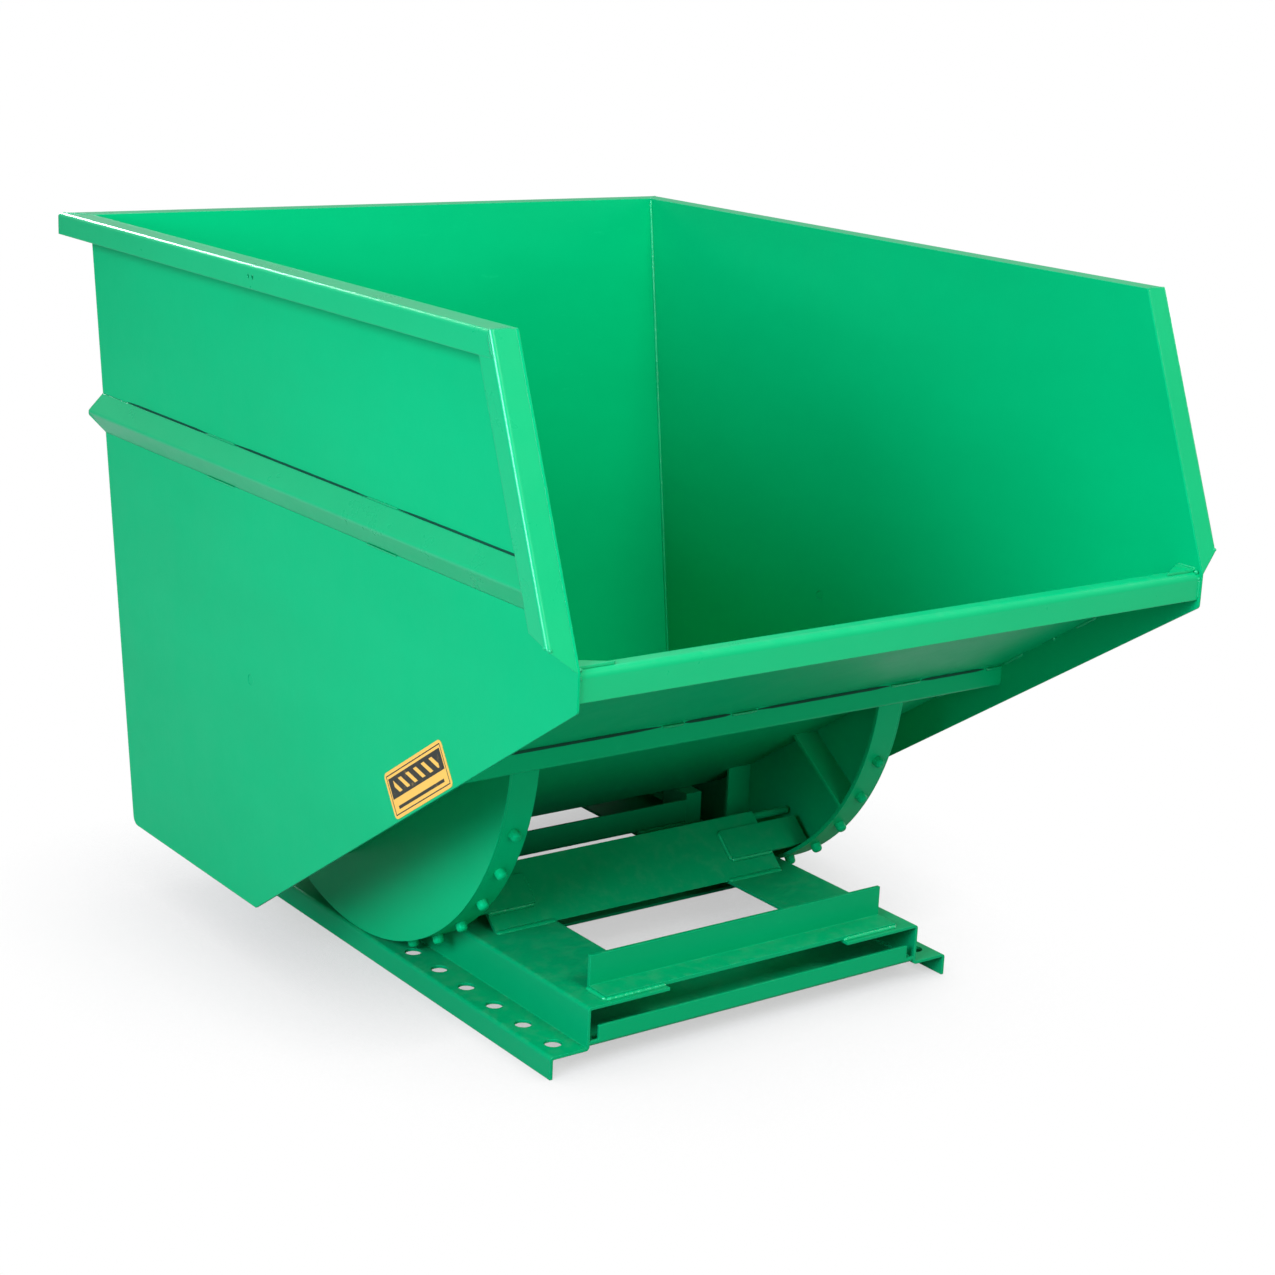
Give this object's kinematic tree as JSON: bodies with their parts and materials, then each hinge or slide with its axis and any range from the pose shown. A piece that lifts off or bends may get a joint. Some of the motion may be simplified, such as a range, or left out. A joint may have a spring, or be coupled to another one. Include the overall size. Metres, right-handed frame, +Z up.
{
  "type": "self-dumping hopper",
  "caption": "Roll-forward self-dumping hopper: an open sheet steel bin with a sloping floor and a low mouth, on curved rockers that roll along a base with fork pockets.",
  "frame": {"origin": "on the ground under the middle of the bounding box", "axes": "+Z up, +Y from the mouth towards the rear wall, +X to the right of someone facing the rear wall from the mouth"},
  "size_m": [1.538, 1.864, 1.42],
  "materials": {
    "bin_enamel": "satin enamel over mild steel, brushed weld beads showing through",
    "base_enamel": "satin enamel over mild steel, scuffed on the running surfaces",
    "latch_enamel": "satin enamel over mild steel",
    "label": "plain amber plate with a dark band and border"
  },
  "bodies": {
    "base": {"rail_left": "base_enamel", "rail_right": "base_enamel", "front_stop_angle": "base_enamel", "front_bottom_strap": "base_enamel", "middle_bottom_strap": "base_enamel", "rear_bottom_strap": "base_enamel", "rear_top_tie": "base_enamel", "ridge_plate": "base_enamel", "rocker_retainers": "base_enamel", "roll_stop_bar": "base_enamel", "rest_angle": "base_enamel", "rest_blocks": "base_enamel", "keeper_plate": "base_enamel", "keeper_lugs": "base_enamel", "keeper_bar": "base_enamel"},
    "roll_carrier": {"roll_axis_slugs": "bin_enamel"},
    "bin": {"left_side_panel": "bin_enamel", "right_side_panel": "bin_enamel", "floor_plate": "bin_enamel", "rear_wall": "bin_enamel", "front_lip": "bin_enamel", "lip_corner_gussets": "bin_enamel", "rim_left": "bin_enamel", "rim_right": "bin_enamel", "rim_rear": "bin_enamel", "mouth_flange_left": "bin_enamel", "mouth_flange_right": "bin_enamel", "rib_left": "bin_enamel", "rib_right": "bin_enamel", "rib_rear": "bin_enamel", "label_plate": "label", "cross_brace": "bin_enamel", "rocker_plate_left": "bin_enamel", "rocker_plate_right": "bin_enamel", "rocker_strip_left": "bin_enamel", "rocker_strip_right": "bin_enamel", "rocker_studs_left": "bin_enamel", "rocker_studs_right": "bin_enamel", "rocker_gussets_left": "bin_enamel", "rocker_gussets_right": "bin_enamel", "latch_brackets": "bin_enamel"},
    "latch": {"latch_shaft": "latch_enamel", "latch_hook": "latch_enamel", "release_lever": "latch_enamel", "release_grip": "latch_enamel", "shaft_hubs": "latch_enamel"}
  },
  "joints": [
    {"name": "roll_travel", "type": "slide", "parent": "base", "child": "roll_carrier", "axis": [0, -1, 0], "range_m": [0, 0.5474]},
    {"name": "roll_turn", "type": "hinge", "parent": "roll_carrier", "child": "bin", "pos_m": [0, 0.167, 0.6043], "axis": [1, 0, 0], "range_deg": [0, 56]},
    {"name": "latch_swing", "type": "hinge", "parent": "bin", "child": "latch", "pos_m": [0, 0.79706, 0.56], "axis": [-1, 0, 0], "range_deg": [0, 8]}
  ],
  "couplings": [
    {"joint": "roll_travel", "follows": "roll_turn", "m_per_rad": 0.559}
  ]
}
